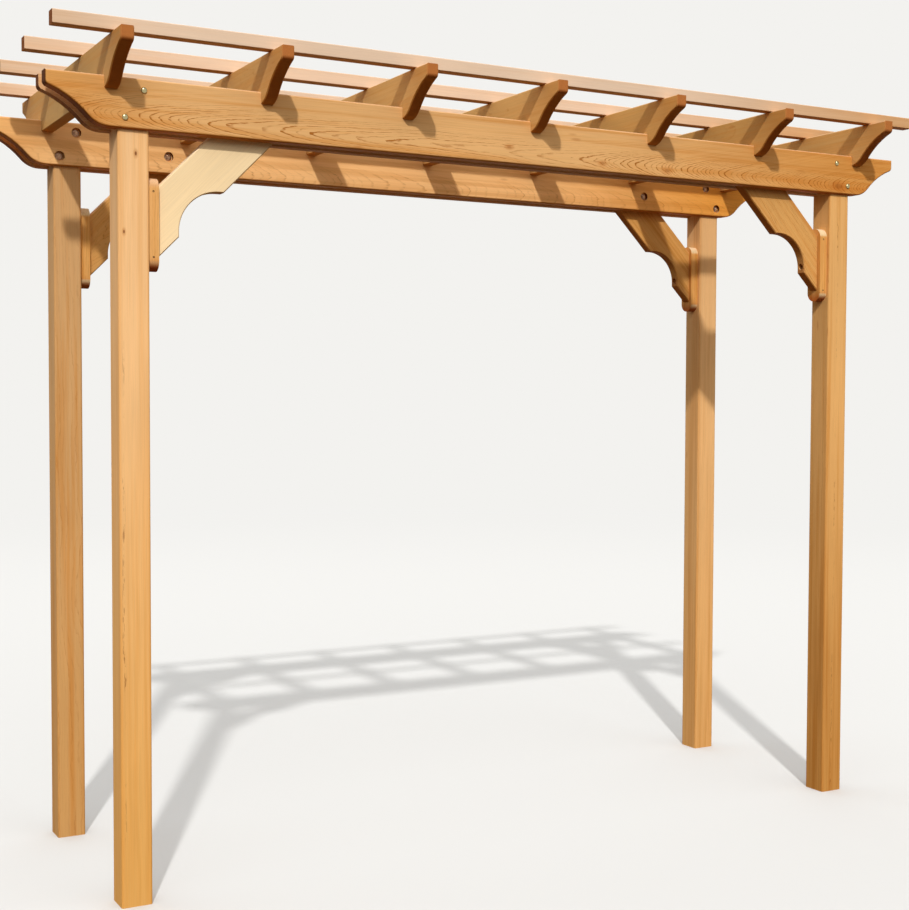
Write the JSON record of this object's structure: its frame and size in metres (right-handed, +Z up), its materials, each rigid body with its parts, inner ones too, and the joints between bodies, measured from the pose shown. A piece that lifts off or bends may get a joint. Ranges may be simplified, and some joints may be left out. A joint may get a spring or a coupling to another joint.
{
  "type": "garden pergola",
  "caption": "Free-standing timber pergola: square posts carry twin-board headers with ogee ends, 45-degree braces, notched rafters and a top of square slats.",
  "frame": {"origin": "on the ground, in the middle of the four posts, under the centre of the bounding box", "axes": "+X along the headers and slats to the right, +Y along the rafters from the front to the rear, +Z up"},
  "size_m": [3.092, 1.188, 2.4638],
  "materials": {
    "post_timber": "planed softwood, clear oiled",
    "board_timber": "planed softwood, clear oiled",
    "slat_timber": "planed pale softwood",
    "brace_timber": "planed softwood, clear oiled"
  },
  "bodies": {
    "root": {"post_front_left": "post_timber", "post_front_right": "post_timber", "post_rear_left": "post_timber", "post_rear_right": "post_timber", "header_front_outer": "board_timber", "header_front_inner": "board_timber", "header_rear_outer": "board_timber", "header_rear_inner": "board_timber", "rafter_1": "board_timber", "rafter_2": "board_timber", "rafter_3": "board_timber", "rafter_4": "board_timber", "rafter_5": "board_timber", "rafter_6": "board_timber", "rafter_7": "board_timber", "slat_1": "slat_timber", "slat_2": "slat_timber", "slat_3": "slat_timber", "slat_4": "slat_timber", "brace_cleat_front_left": "brace_timber", "brace_cleat_front_right": "brace_timber", "brace_cleat_rear_left": "brace_timber", "brace_cleat_rear_right": "brace_timber", "brace_front_left": "brace_timber", "brace_front_right": "brace_timber", "brace_rear_left": "brace_timber", "brace_rear_right": "brace_timber"}
  },
  "joints": []
}
